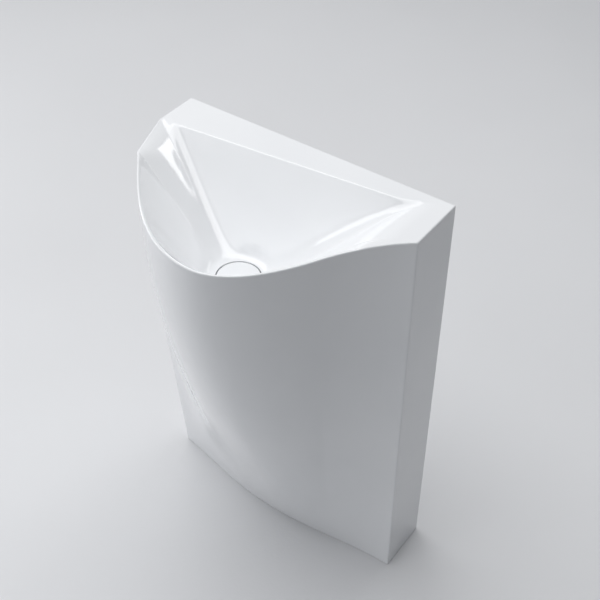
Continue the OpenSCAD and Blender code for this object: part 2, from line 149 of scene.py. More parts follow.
class Skin:
    """Rows of points and the faces between them, welded into one mesh at the end."""

    def __init__(self):
        self.points, self.faces = [], []

    def row(self, points):
        """Adds points and gives their numbers."""
        start = len(self.points)
        self.points.extend(map(tuple, points))
        return list(range(start, len(self.points)))

    def bridge(self, a, b, closed=False):
        """Quads between two rows with the same count."""
        n = len(a)
        for i in range(n if closed else n - 1):
            j = (i + 1) % n
            self.faces.append((a[i], b[i], b[j], a[j]))

    def bridge_all(self, rows, closed=False):
        for a, b in zip(rows, rows[1:]):
            self.bridge(a, b, closed)

    def zip_rows(self, a, b, keys_a, keys_b, closed=False):
        """Triangles between two rows with different counts; the keys say how far along each point is."""
        if closed:
            a, b = a + a[:1], b + b[:1]
            keys_a, keys_b = list(keys_a) + [1.0], list(keys_b) + [1.0]
        i = j = 0
        while i < len(a) - 1 or j < len(b) - 1:
            step_a = j == len(b) - 1 or (i < len(a) - 1 and keys_a[i + 1] <= keys_b[j + 1])
            if step_a:
                self.faces.append((a[i], a[i + 1], b[j]))
                i += 1
            else:
                self.faces.append((a[i], b[j + 1], b[j]))
                j += 1

    def build(self, name):
        """The object made of all rows and faces, welded, with its faces turned outwards."""
        mesh = bpy.data.meshes.new(name)
        mesh.from_pydata(self.points, [], self.faces)
        bm = bmesh.new()
        bm.from_mesh(mesh)
        bmesh.ops.remove_doubles(bm, verts=bm.verts, dist=WELD)
        bmesh.ops.dissolve_degenerate(bm, edges=bm.edges, dist=SLIVER)
        bmesh.ops.recalc_face_normals(bm, faces=bm.faces)
        bm.to_mesh(mesh)
        bm.free()
        return shaded(link(name, mesh))


def link(name, data):
    """A new object in the scene for a mesh, light or camera."""
    obj = bpy.data.objects.new(name, data)
    bpy.context.scene.collection.objects.link(obj)
    return obj


def shaded(obj):
    """Smooth shading that is sharp only at edges over an angle and level on flats."""
    obj.data.shade_smooth()
    obj.data.set_sharp_from_angle(angle=math.radians(SHARP_ANGLE))
    flats = obj.modifiers.new("level_flats", "WEIGHTED_NORMAL")
    flats.keep_sharp = True
    return obj


# ---- plan outline of the shell ----

LINE_STEPS = 24
CURVE_STEPS = 120
SOFTENING_TAPS = 13
TANGENT_STEP = 0.3 * MM


def bezier(p, t):
    """Points and directions along a cubic, for an array of parameters."""
    t = t[:, None]
    point = (1 - t) ** 3 * p[0] + 3 * (1 - t) ** 2 * t * p[1] + 3 * (1 - t) * t * t * p[2] + t**3 * p[3]
    way = (1 - t) ** 2 * (p[1] - p[0]) + 2 * (1 - t) * t * (p[2] - p[1]) + t * t * (p[3] - p[2])
    return point, way / np.linalg.norm(way, axis=1)[:, None]


def inward(way):
    """The plan direction to the inside of the shell, for directions along its outline."""
    return np.stack([way[:, 1], -way[:, 0]], axis=1)


def line(a, b, n):
    """Points from `a` towards `b`, without `b` itself."""
    t = np.linspace(0, 1, n, endpoint=False)[:, None]
    return np.asarray(a) + (np.asarray(b) - np.asarray(a)) * t


def sharp_outline(level, inner):
    """The outline with sharp corners, from the wall on the left to the wall on the right, as stretches.

    The outer outline starts and ends with the wall's own thickness, which faces the room's wall.
    """
    inset = WALL_T if inner else 0
    front = []
    for curve in level["curves"]:
        point, way = bezier(curve, np.linspace(0, 1, CURVE_STEPS, endpoint=False))
        front.append(point + inward(way) * inset)
    front = np.concatenate(front)
    cheek, left, right = level["cheek"], front[0], level["curves"][-1][-1]
    if inner:
        cheek, left, right = level["inner"]
        front = np.where(front[:, :1] < left[0], left, front)
        front = np.where(front[:, :1] > right[0], right, front)
    side = HALF_WIDTH - inset
    stretches = [
        line((-side, 0), cheek, LINE_STEPS),
        line(cheek, left, LINE_STEPS),
        front,
        line(right, (side, 0), LINE_STEPS),
    ]
    end = np.array([[side, 0]])
    if not inner:
        stretches.insert(0, line((-side + WALL_T, 0), (-side, 0), LINE_STEPS))
        stretches.append(line((side, 0), (side - WALL_T, 0), LINE_STEPS))
        end = np.array([[side - WALL_T, 0]])
    starts = np.cumsum([0] + [len(s) for s in stretches])
    return np.concatenate(stretches + [end]), starts


def flare(t):
    """How far the front has come out from the foot's curve to the rim's, at a height from 0 to 1."""
    return 3 * (1 - t) ** 2 * t * FLARE_LOW + 3 * (1 - t) * t * t * FLARE_HIGH + t**3


def crowded(n, crowding):
    """Steps from 0 up to 1, without 1 itself, that are short near both ends."""
    return (0.5 + 0.5 * np.tanh(crowding * np.linspace(-1, 1, n + 1)) / math.tanh(crowding))[:-1]


LEG_STEPS = crowded(6, 1.0)
SIDE_STEPS = crowded(18, 2.0)
CHEEK_STEPS = crowded(14, 2.0)
FRONT_STEPS = crowded(220, 1.8)


class Outline:
    """The outer or inner outline at any height, with its corners rounded off."""

    def __init__(self, inner):
        self.rim, self.starts = sharp_outline(RIM, inner)
        self.foot, _ = sharp_outline(FOOT, inner)
        self.steps = [SIDE_STEPS, CHEEK_STEPS, FRONT_STEPS, SIDE_STEPS]
        if not inner:
            self.steps = [LEG_STEPS, *self.steps, LEG_STEPS]

    def at(self, t):
        """Plan points, inward directions and lengths along the outline at a height from 0 to 1."""
        sharp = self.foot + (self.rim - self.foot) * flare(t)
        along = np.concatenate([[0], np.cumsum(np.linalg.norm(np.diff(sharp, axis=0), axis=1))])
        overrun = 2 * CORNER_SOFTENING
        first = sharp[0] + (sharp[0] - sharp[1]) / along[1] * overrun
        last = sharp[-1] + (sharp[-1] - sharp[-2]) / (along[-1] - along[-2]) * overrun
        sharp = np.vstack([first, sharp, last])
        s_sharp = np.concatenate([[-overrun], along, [along[-1] + overrun]])
        ends = along[self.starts]
        stretches = [a + (b - a) * f for a, b, f in zip(ends, ends[1:], self.steps)]
        s = np.concatenate(stretches + [along[-1:]])
        offsets = np.linspace(-1, 1, SOFTENING_TAPS)
        weights = np.cos(offsets * math.pi / 2) ** 2 + NEARLY_ZERO
        weights /= weights.sum()

        def soft(at):
            taps = at[:, None] + offsets * CORNER_SOFTENING
            both = [(np.interp(taps, s_sharp, sharp[:, k]) * weights).sum(1) for k in (0, 1)]
            return np.stack(both, axis=1)

        way = soft(s + TANGENT_STEP) - soft(s - TANGENT_STEP)
        way /= np.linalg.norm(way, axis=1)[:, None]
        return soft(s), inward(way), s


def raised(points, z):
    """Plan points as points in space, at one height or at one height each."""
    z = np.broadcast_to(z, len(points))
    return np.stack([points[:, 0], WALL_Y - points[:, 1], z], axis=1)


# ---- the bowl as a height over the plan ----

def cross2(a, b):
    """The cross product of plan vectors."""
    return a[..., 0] * b[..., 1] - a[..., 1] * b[..., 0]


def reach(way, r, a, b):
    """The fraction of each ray from the drain, `way` long `r`, at which it meets the line a-b, or 1."""
    k = cross2(way * r[:, None], b - a)
    t = cross2(a - DRAIN, b - a) / np.where(np.abs(k) < NEARLY_ZERO, NEARLY_ZERO, k)
    return np.where((t > 0) & (t < 1), t, 1.0)


def soft_min(a, b, k):
    """The lower of two heights, blended where they are less than `k` apart."""
    h = np.maximum(k - np.abs(a - b), 0) / k
    return np.minimum(a, b) - h * h * k / 4


def soft_max(a, b, k):
    return -soft_min(-a, -b, k)


def dish(t):
    """Flat at the centre and nearly straight further out, 0 to 1."""
    return (np.sqrt(t * t + BOWL_ROUND**2) - BOWL_ROUND) / (math.sqrt(1 + BOWL_ROUND**2) - BOWL_ROUND)


def smooth_step(t):
    """0 to 1 with level ends."""
    t = np.clip(t, 0, 1)
    return t * t * (3 - 2 * t)


def evened(angle, values, spread):
    """Values round the drain averaged over neighbouring directions, `spread` radians to each side."""
    grid = np.arange(DIRECTIONS) / DIRECTIONS * 2 * math.pi
    order = np.argsort(angle % (2 * math.pi))
    even = np.interp(grid, (angle % (2 * math.pi))[order], values[order], period=2 * math.pi)
    taps = int(spread / (2 * math.pi) * DIRECTIONS)
    weights = np.cos(np.linspace(-math.pi / 2, math.pi / 2, 2 * taps + 1)) ** 2
    wrapped = np.concatenate([even[-taps:], even, even[:taps]])
    smooth = np.convolve(wrapped, weights / weights.sum(), "valid")
    return np.interp(angle, grid, smooth, period=2 * math.pi)


class Rays:
    """Rays from the drain to the outer outline, with the places where the bowl's parts meet."""

    def __init__(self, way, r):
        self.way, self.r = way, r
        shoulder = np.where(way[:, 0] > 0, reach(way, r, SHOULDER_FRONT, SHOULDER_BACK), 1.0)
        ledge = np.where(way[:, 1] < 0, reach(way, r, LEDGE_LEFT, LEDGE_RIGHT), 1.0)
        self.on_ledge = np.clip((shoulder - ledge) * LEDGE_FADE, 0, 1)
        corner, along = RIM["curves"][0][0], RIM["cheek"] - RIM["curves"][0][0]
        cheek = smooth_step((self.points(r) - corner) @ along / (along @ along) + CHEEK_START)
        cheek = np.where(way[:, 0] < 0, cheek, 0)
        self.tilt = CHEEK_TILT * cheek * (1 - self.on_ledge)
        self.shell_r = np.minimum(r - LIP - CHEEK_LIP * cheek, r * shoulder)
        self.even_r = evened(np.arctan2(way[:, 1], way[:, 0]), self.shell_r, EVENING)
        self.mouth_r = np.minimum(self.shell_r, r * ledge)

    def points(self, radius):
        return DRAIN + self.way * radius[:, None]

    def height(self, radius):
        """Height of the bowl's surface on each ray at that radius."""
        q = self.points(radius)
        near_rim = smooth_step((radius - FLOOR_R) / (self.shell_r - FLOOR_R)) ** 2
        shell_r = self.even_r + (self.shell_r - self.even_r) * near_rim
        t = np.maximum(radius - FLOOR_R, 0) / (shell_r - FLOOR_R)
        shell = FLOOR_Z + BOWL_DEPTH * dish(t)
        along = (LEDGE_RIGHT - LEDGE_LEFT) / np.linalg.norm(LEDGE_RIGHT - LEDGE_LEFT)
        back = HEIGHT - BACK_SLOPE * cross2(along, q - LEDGE_LEFT)
        below = np.clip((HEIGHT - np.maximum(shell, back)) / BOWL_DEPTH * VALLEY_DEEPENING, 0, 1)
        to_right = smooth_step((q[:, 0] - DRAIN[0]) / VALLEY_REACH + VALLEY_START)
        valley = VALLEY_BLEND * to_right * below
        bowl = soft_max(shell, back, CREASE_BLEND + valley)
        spare = np.clip((self.r - self.shell_r) / SHOULDER_REACH, 0, 1)
        top = HEIGHT - self.tilt * np.maximum(self.r - radius, 0)
        z = soft_min(bowl, top, EDGE_BLEND + SHOULDER_BLEND * spare * (1 - self.on_ledge))
        return FLOOR_Z + (z - FLOOR_Z) * smooth_step((radius - FLOOR_R) / FLOOR_EASE)


# ---- the shell ----

BACK_STEPS = 56
LOWER_STEPS = 120
ROUND_STEPS = 5
BOWL_RINGS = 44
RIM_RINGS = 14
ROOF_RINGS = 18
TURN_STEPS = 120
RIM_CROWDING = 1.2
WIDE_RIM = 20 * MM
EDGE_ROWS = (0, 5 * MM, 9 * MM)
BOWL_CROWDING = 1.6


def in_order(angles):
    """Angles that rise all the way, by evening out the few that step back at a tight corner."""
    rising = np.maximum.accumulate(angles)
    falling = np.minimum.accumulate(angles[::-1])[::-1]
    return (rising + falling) / 2 + np.linspace(0, 1e-4, len(angles))


def basin_shell():
    """Basin and pedestal in one piece: outer wall, rim, bowl, inner wall, underside and recess."""
    skin = Skin()
    outer, inner = Outline(False), Outline(True)
    quarter = np.linspace(0, math.pi / 2, ROUND_STEPS + 1)

    # outer wall from the floor to the underside of the ledge; its foot is rounded except at the back
    foot_z = FOOT_ROUND * (1 - np.cos(quarter))
    lower_z = np.concatenate([foot_z[:-1], np.linspace(FOOT_ROUND, LEDGE_Z, LOWER_STEPS)])
    lower = []
    for z in lower_z:
        p, n, s = outer.at(z / HEIGHT)
        from_end = np.clip(np.minimum(s, s[-1] - s) / (WALL_T + CORNER_SOFTENING), 0, 1)
        round_in = FOOT_ROUND - math.sqrt(max(FOOT_ROUND**2 - max(FOOT_ROUND - z, 0) ** 2, 0))
        lower.append(skin.row(raised(p + n * (round_in * from_end)[:, None], z)))
        if z == 0:
            foot_keys = s / s[-1]
    skin.bridge_all(lower)

    # closed rings from there over the rounded rim, then inwards over the lip and the ledge and down the bowl
    back_x = np.linspace(HALF_WIDTH - WALL_T, -HALF_WIDTH + WALL_T, BACK_STEPS + 1)[1:-1]
    back = np.stack([back_x, np.zeros_like(back_x)], axis=1)
    back_n = np.tile([0.0, 1.0], (len(back), 1))

    def ring_at(z):
        p, n, _ = outer.at(z / HEIGHT)
        return np.vstack([p, back]), np.vstack([n, back_n])

    round_z = HEIGHT - RIM_ROUND + RIM_ROUND * np.sin(quarter)
    upper_z = [LEDGE_Z + rise for rise in EDGE_ROWS]
    upper = [skin.row(raised(ring_at(z)[0], z)) for z in upper_z]
    rim, rim_n = ring_at(HEIGHT)
    to_edge = rim + rim_n * RIM_ROUND - DRAIN
    edge_r = np.linalg.norm(to_edge, axis=1)
    turn = in_order(-np.unwrap(np.arctan2(to_edge[:, 1], to_edge[:, 0])))
    way = np.stack([np.cos(turn), -np.sin(turn)], axis=1)
    rim_r = edge_r - RIM_ROUND / (way * rim_n).sum(1)
    rays = Rays(way, rim_r)
    round_in = DRAIN + way * edge_r[:, None] - rim
    for z, angle in zip(round_z, quarter):
        p = ring_at(z)[0] + round_in * (1 - math.cos(angle))
        drop = (HEIGHT - rays.height(edge_r)) * (1 - math.cos(angle))
        upper.append(skin.row(raised(p, z - drop)))
    for k in range(RIM_RINGS - 1, -1, -1):
        width = np.maximum(edge_r - rays.mouth_r, 0)
        power = 1 + RIM_CROWDING * np.clip(width / WIDE_RIM, 0, 1)
        radius = rays.mouth_r + width * (k / RIM_RINGS) ** power
        upper.append(skin.row(raised(rays.points(radius), rays.height(radius))))
    for k in range(1, BOWL_RINGS + 1):
        radius = rays.mouth_r - (rays.mouth_r - FLOOR_R) * (k / BOWL_RINGS) ** BOWL_CROWDING
        upper.append(skin.row(raised(rays.points(radius), rays.height(radius))))
    skin.bridge_all(upper, closed=True)

    # inner wall up to the basin's underside
    roof_edge, _, _ = inner.at(1.0)
    roof_ring = np.vstack([roof_edge, back])
    roof_way = roof_ring - DRAIN
    roof_r = np.linalg.norm(roof_way, axis=1)
    roof_way /= roof_r[:, None]
    roof_turn = -np.arctan2(roof_way[:, 1], roof_way[:, 0])
    turn_3 = np.concatenate([turn - 2 * math.pi, turn, turn + 2 * math.pi])
    roof_rays = Rays(roof_way, np.interp(roof_turn, turn_3, np.tile(rim_r, 3)))

    def roof_height(radius):
        boss = BOSS_EXTRA * np.clip((BOSS_R - radius) / BOSS_SLOPE, 0, 1)
        return roof_rays.height(radius) - BASIN_T - boss

    roof_edge_z = roof_height(roof_r)
    roof_edge_z[len(roof_edge):] = LEDGE_Z
    roof_edge_z[[0, len(roof_edge) - 1]] = LEDGE_Z
    inside = []
    for f in lower_z / LEDGE_Z:
        z = roof_edge_z[:len(roof_edge)] * f
        if f == 1:
            inside.append(skin.row(raised(roof_edge, z)))
            continue
        p, _, s = inner.at(LEDGE_Z * f / HEIGHT)
        inside.append(skin.row(raised(p, z)))
        if f == 0:
            skin.zip_rows(lower[0], inside[0], foot_keys, s / s[-1])
    skin.bridge_all(inside)

    # underside of the basin, in to the boss round the waste
    roof = [skin.row(raised(roof_ring, roof_edge_z))]
    for k in range(1, ROOF_RINGS + 1):
        radius = roof_r - (roof_r - FLOOR_R) * (k / ROOF_RINGS)
        roof.append(skin.row(raised(roof_rays.points(radius), roof_height(radius))))
    skin.bridge_all(roof, closed=True)

    # recess for the cover and hole for the waste, turned about the drain
    boss_z = FLOOR_Z - BASIN_T - BOSS_EXTRA
    turned = [
        (RECESS_R + 2.5 * MM, FLOOR_Z), (RECESS_R + 1.0 * MM, FLOOR_Z),
        (RECESS_R + 0.6 * MM, FLOOR_Z - 0.1 * MM), (RECESS_R + 0.2 * MM, FLOOR_Z - 0.4 * MM),
        (RECESS_R, FLOOR_Z - 1.0 * MM),
        (RECESS_R, RECESS_Z + 1.0 * MM), (RECESS_R - 0.3 * MM, RECESS_Z + 0.3 * MM),
        (RECESS_R - 1.0 * MM, RECESS_Z), (WASTE_HOLE_R, RECESS_Z), (WASTE_HOLE_R, boss_z),
        (WASTE_COLLAR_R, boss_z),
    ]

    def circle(radius, z, start):
        a = start + np.arange(TURN_STEPS) / TURN_STEPS * 2 * math.pi
        return raised(DRAIN + radius * np.stack([np.cos(a), -np.sin(a)], axis=1), z)

    first = turn[0]
    hole = [skin.row(circle(radius, z, first)) for radius, z in turned]
    skin.bridge_all(hole, closed=True)
    hole_keys = np.arange(TURN_STEPS) / TURN_STEPS
    skin.zip_rows(upper[-1], hole[0], (turn - first) / (2 * math.pi), hole_keys, closed=True)
    roof_keys = np.unwrap(roof_turn - first) % (2 * math.pi) / (2 * math.pi)
    start = int(np.argmin(roof_keys))
    order = roof[-1][start:] + roof[-1][:start]
    last = skin.row(circle(WASTE_COLLAR_R, boss_z, first))
    skin.zip_rows(order, last, np.roll(roof_keys, -start), hole_keys, closed=True)
    return skin.build("basin_shell")


# ---- turned and cut parts ----

UPRIGHT = Matrix.Translation((DRAIN_X, DRAIN_Y, 0))
ALONG_OUTLET = Matrix.Translation((DRAIN_X, 0, OUTLET_Z)) @ Matrix.Rotation(-math.pi / 2, 4, "X")


def rounded(profile, radius, steps=3):
    """A profile of (radius, height) points with its corners rounded off, except on the axis.

    A rounding takes at most 45% of each side, so that neighbours never meet.
    """
    on_axis = profile[0][0] < ON_AXIS
    points = [np.array(p) for p in profile]
    n = len(points)
    result = []
    for i, p in enumerate(points):
        if on_axis and i in (0, n - 1):
            result.append(tuple(p))
            continue
        before, after = points[i - 1] - p, points[(i + 1) % n] - p
        size_b, size_a = np.linalg.norm(before), np.linalg.norm(after)
        back_off = min(radius, 0.45 * size_b, 0.45 * size_a)
        a, b = p + before / size_b * back_off, p + after / size_a * back_off
        for t in np.linspace(0, 1, steps + 1):
            result.append(tuple((1 - t) ** 2 * a + 2 * (1 - t) * t * p + t * t * b))
    return result


def turned_skin(skin, profile, place, steps, shape=None):
    """Adds a profile turned about the local Z axis; `shape` changes the radius with the angle."""
    a = np.arange(steps) / steps * 2 * math.pi
    rows = []
    for radius, z in profile:
        r = np.full(steps, radius)
        if shape:
            r = shape(a, r, z)
        local = np.stack([r * np.cos(a), r * np.sin(a), np.full(steps, z), np.ones(steps)], axis=1)
        rows.append(skin.row((local @ np.array(place).T)[:, :3]))
    skin.bridge_all(rows, closed=True)
    if profile[0][0] > ON_AXIS:
        skin.bridge(rows[-1], rows[0], closed=True)


def turned(name, profile, place=UPRIGHT, steps=96, shape=None):
    skin = Skin()
    turned_skin(skin, profile, place, steps, shape)
    return skin.build(name)


def ribs(count, depth, from_r):
    """Raises `count` rounded ribs on every point at least as far out as `from_r`."""
    def shape(a, r, z):
        wave = 0.5 + 0.5 * np.cos(a * count)
        return r if r[0] < from_r else r + depth * (wave**3 - 1)
    return shape


def thread(at_r, pitch, depth, low, high):
    """Cuts a screw thread into the wall at radius `at_r` between two heights."""
    def shape(a, r, z):
        if abs(r[0] - at_r) > 0.01 * MM or not low < z < high:
            return r
        phase = (z / pitch - a / (2 * math.pi)) % 1
        run_out = min(1, (z - low) / pitch, (high - z) / pitch)
        return r - depth * run_out * np.clip(np.abs(2 * phase - 1) * 1.6 - 0.3, 0, 1)
    return shape


def column(radius, low, high, step):
    """Profile points up a straight wall, close enough together to carry a thread."""
    return [(radius, z) for z in np.linspace(low, high, int(round((high - low) / step)) + 1)]


def upright_box(node):
    """Lowest height, highest height and outer radius of a node turned about the drain's axis."""
    low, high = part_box(node)
    return low.z, high.z, (high.x - low.x) / 2


def level_box(node):
    """The same along Y for a node turned about the outlet's axis."""
    low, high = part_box(node)
    return low.y, high.y, (high.x - low.x) / 2


def cut(base, tool, operation):
    """Joins a closed piece to another or subtracts it, and deletes the tool."""
    step = base.modifiers.new("cut", "BOOLEAN")
    step.operation, step.solver, step.object = operation, "EXACT", tool
    base.modifiers.move(len(base.modifiers) - 1, 0)
    for other in list(base.modifiers)[1:]:
        base.modifiers.remove(other)
    bpy.context.view_layer.update()
    result = bpy.data.meshes.new_from_object(base.evaluated_get(bpy.context.evaluated_depsgraph_get()))
    base.modifiers.clear()
    base.data = result
    bpy.data.objects.remove(tool)


# ---- drain ----

def drain_cover():
    """The white disc over the waste, slightly crowned."""
    low, high, r = upright_box("drain_cover")
    crown = [(r, high - 1.2 * MM), (r - 0.4 * MM, high - 0.6 * MM), (r - 1.2 * MM, high - 0.3 * MM),
             (r * 0.6, high - 0.08 * MM), (0, high)]
    return turned("drain_cover_disc", [(0, low), (r - 2 * MM, low), (r, low + 1.5 * MM), *crown], steps=128)


def cover_cap():
    """The steel plate under the cover, with a stepped rim and a boss for the stem."""
    low, high, r = upright_box("cover_cap")
    boss_r, bore = 6 * MM, 2.5 * MM
    plate = high - 1.6 * MM
    profile = [(bore, low), (boss_r, low), (boss_r, plate), (r - 2 * MM, plate),
               (r, plate + 0.5 * MM), (r, high), (bore, high)]
    return turned("stepped_cap", rounded(profile, 0.4 * MM))


def cover_stem():
    """The threaded rod between the cover and the cartridge."""
    low, high, r = upright_box("cover_stem")
    edge, pitch, depth, step = 0.4 * MM, 0.8 * MM, 0.4 * MM, 0.14 * MM
    wall = column(r, low + edge, high - edge, step)
    profile = [(0, low), (r - edge, low), *wall, (r - edge, high), (0, high)]
    return turned("threaded_stem", profile, steps=32, shape=thread(r, pitch, depth, low, high))


WASTE_R = 20.75 * MM
WASTE_BORE = 17.5 * MM
HOUSING_R = 8 * MM
LEG_TURNS = (90, 210, 330)
ON_WASTE = 21 * MM


def waste_body():
    """Flanged tube with a thread outside, and three legs inside that hold the cartridge."""
    low, high, flange_r = upright_box("waste_body")
    seat = high - 2.5 * MM
    thread_low, thread_high = low + 1.5 * MM, seat - 3 * MM
    tube = [(WASTE_BORE, low), (WASTE_R - 0.8 * MM, low), (WASTE_R, low + 0.8 * MM)]
    flange = [(WASTE_R, seat), (flange_r, seat), (flange_r, high - 0.8 * MM), (flange_r - 1.2 * MM, high),
              (WASTE_BORE + 4 * MM, high), (WASTE_BORE, seat - 1.5 * MM)]
    pitch, depth, step = 2.3 * MM, 0.8 * MM, 0.35 * MM
    profile = tube + column(WASTE_R, thread_low, thread_high, step) + rounded(flange, 0.4 * MM)
    wound = thread(WASTE_R, pitch, depth, thread_low, thread_high)
    body = turned("threaded_waste", profile, shape=wound)
    leg_high = high - 12.5 * MM
    for turn in LEG_TURNS:
        leg_end = (WASTE_BORE + 1 * MM, 1.2 * MM, leg_high)
        leg = block("leg", (HOUSING_R, -1.2 * MM, leg_high - 10 * MM), leg_end, 0.4 * MM)
        leg.data.transform(UPRIGHT @ Matrix.Rotation(math.radians(turn), 4, "Z"))
        cut(body, leg, "UNION")
    return shaded(body)


def block(name, low, high, edge):
    """A closed block with rounded edges."""
    mesh = bpy.data.meshes.new(name)
    bm = bmesh.new()
    bmesh.ops.create_cube(bm, size=1)
    for v in bm.verts:
        v.co = [(a + b) / 2 + c * (b - a) for a, b, c in zip(low, high, v.co)]
    bmesh.ops.bevel(bm, geom=bm.edges[:], offset=edge, segments=2, affect="EDGES", profile=0.5)
    bm.to_mesh(mesh)
    bm.free()
    return link(name, mesh)


def under_gasket():
    low, high, r = upright_box("under_gasket")
    profile = [(ON_WASTE, low), (r, low), (r, low + 4 * MM), (r - 3 * MM, high), (ON_WASTE, high)]
    return turned("tapered_gasket", rounded(profile, 1 * MM))


def friction_washer():
    low, high, r = upright_box("friction_washer")
    return turned("slip_washer", rounded([(ON_WASTE, low), (r, low), (r, high), (ON_WASTE, high)], 0.5 * MM))


def ribbed_nut(name, low, high, r, bore, count, place, hollow_r=None):
    """A nut with raised ribs; with `hollow_r` it is hollow up to 4 mm from its far end."""
    edge, rib = 1.2 * MM, 2 * MM
    outside = [(r - rib - edge, low), (r, low + edge), (r, high - edge), (r - rib - edge, high)]
    inside = [(bore, high), (bore, low)]
    if hollow_r:
        lip = high - 4 * MM
        inside = [(bore, high), (bore, lip), (hollow_r, lip), (hollow_r, low)]
    return turned(name, rounded(outside + inside, 0.5 * MM), place, 240, ribs(count, rib, r - rib))


def waste_locknut():
    low, high, r = upright_box("waste_locknut")
    return ribbed_nut("ribbed_locknut", low, high, r, ON_WASTE, 8, UPRIGHT)


# ---- trap and pipes ----

PIPE_R = 16 * MM
PIPE_T = 1.5 * MM
ON_PIPE = PIPE_R + 0.25 * MM
SOCKET_R = PIPE_R + 0.4 * MM
NECK_R = 20.6 * MM
NUT_BORE = 21 * MM


def trap_inlet_nut():
    low, high, r = upright_box("trap_inlet_nut")
    return ribbed_nut("inlet_coupling_nut", low, high, r, ON_PIPE, 12, UPRIGHT, NUT_BORE)


def trap_outlet_nut():
    low, high, r = level_box("trap_outlet_nut")
    return ribbed_nut("outlet_coupling_nut", low, high, r, ON_PIPE, 12, ALONG_OUTLET, NUT_BORE)


def tailpiece():
    low, high, r = upright_box("tailpiece")
    bore = r - PIPE_T
    return turned("waste_tailpiece", rounded([(bore, low), (r, low), (r, high), (bore, high)], 0.5 * MM))


def outlet_pipe():
    """The pipe to the wall, with the rolled bead that stops it in its socket."""
    low, high, bead_r = level_box("outlet_pipe")
    bore = PIPE_R - PIPE_T
    bead_high = high - 8.5 * MM
    bead_low = bead_high - 1.5 * MM
    profile = [(bore, low), (PIPE_R, low), (PIPE_R, bead_low), (bead_r, bead_low), (bead_r, bead_high),
               (PIPE_R, bead_high), (PIPE_R, high), (bore, high)]
    return turned("outlet_tube", rounded(profile, 0.5 * MM), ALONG_OUTLET)


def wall_rosette():
    """A thin dome, open to the wall."""
    low, high, r = level_box("wall_rosette")
    edge = 1.5 * MM
    rise = high - low - edge
    dome, hollow = [(r, high), (r, high - 1.2 * MM)], []
    for t in np.linspace(0, 1, 9):
        radius = r - 0.6 * MM - (r - ON_PIPE - 1.6 * MM) * t
        swell = rise * math.sin(t * math.pi / 2)
        dome.append((radius, high - edge - swell))
        hollow.append((radius - 1.6 * MM, high - max(swell - 0.2 * MM, 0)))
    profile = dome + [(ON_PIPE, low), (ON_PIPE, low + 1.4 * MM)] + hollow[:-1][::-1]
    return turned("domed_rosette", profile, ALONG_OUTLET, steps=128)


def straight(radius, low, high):
    """Profile of a plain round bar, as a tool for joining or cutting."""
    return [(0, low), (radius, low), (radius, high), (0, high)]


def trap_body():
    """Head with a neck above and a port to the back, hollow inside."""
    low, high, r = upright_box("trap_body")
    start, end = DRAIN_Y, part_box("trap_body")[1].y
    shoulder = high - 14 * MM
    hall_r, hall = r - 3 * MM, low + 50 * MM
    dip_r, seat = 13.75 * MM, high - 19 * MM
    outside = [(r, low), (r, shoulder - 3 * MM), (NECK_R, shoulder + 2 * MM), (NECK_R, high)]
    inside = [(SOCKET_R, high), (SOCKET_R, seat), (dip_r, seat), (dip_r, hall), (hall_r, hall), (hall_r, low)]
    body = turned("bottle_trap_head", rounded(outside + inside, 1 * MM))
    port = straight(NECK_R, start + 20 * MM, end)
    bore = straight(SOCKET_R, start + 12 * MM, end + 1 * MM)
    cut(body, turned("port", rounded(port, 1 * MM), ALONG_OUTLET), "UNION")
    cut(body, turned("port_bore", bore, ALONG_OUTLET), "DIFFERENCE")
    return shaded(body)


def trap_cup():
    """The cup that unscrews: a round-bottomed bottle with a fluted collar."""
    low, high, r = upright_box("trap_cup")
    wall_r = r - 0.6 * MM
    collar = high - 17 * MM
    outside = [(0, low), (r - 13 * MM, low), (r - 5.5 * MM, low + 1.8 * MM), (r - 1.6 * MM, low + 6 * MM),
               (wall_r, low + 13 * MM), (wall_r, collar - 1.4 * MM), (r - 1.6 * MM, collar - 0.7 * MM),
               (r, collar), (r, high)]
    collar_bore, seat_r, bottom = 29.25 * MM, 27 * MM, low + 4 * MM
    seat = high - 12 * MM
    inside = [(collar_bore, high), (collar_bore, seat), (seat_r, seat), (seat_r, bottom), (0, bottom)]
    flutes = ribs(36, 0.9 * MM, r - 0.05 * MM)
    return turned("trap_bottle", rounded(outside + inside, 1 * MM), UPRIGHT, 288, flutes)


# ---- wall brackets ----

BRACKET_T = 3 * MM
BRACKET_HOLE_SHARE = 0.6
SCREW_HOLE_R = 2.8 * MM
WALL_HOLE_R = 4.25 * MM
SCREW_SPACING = 40 * MM
SCREW_LENGTH = 10 * MM


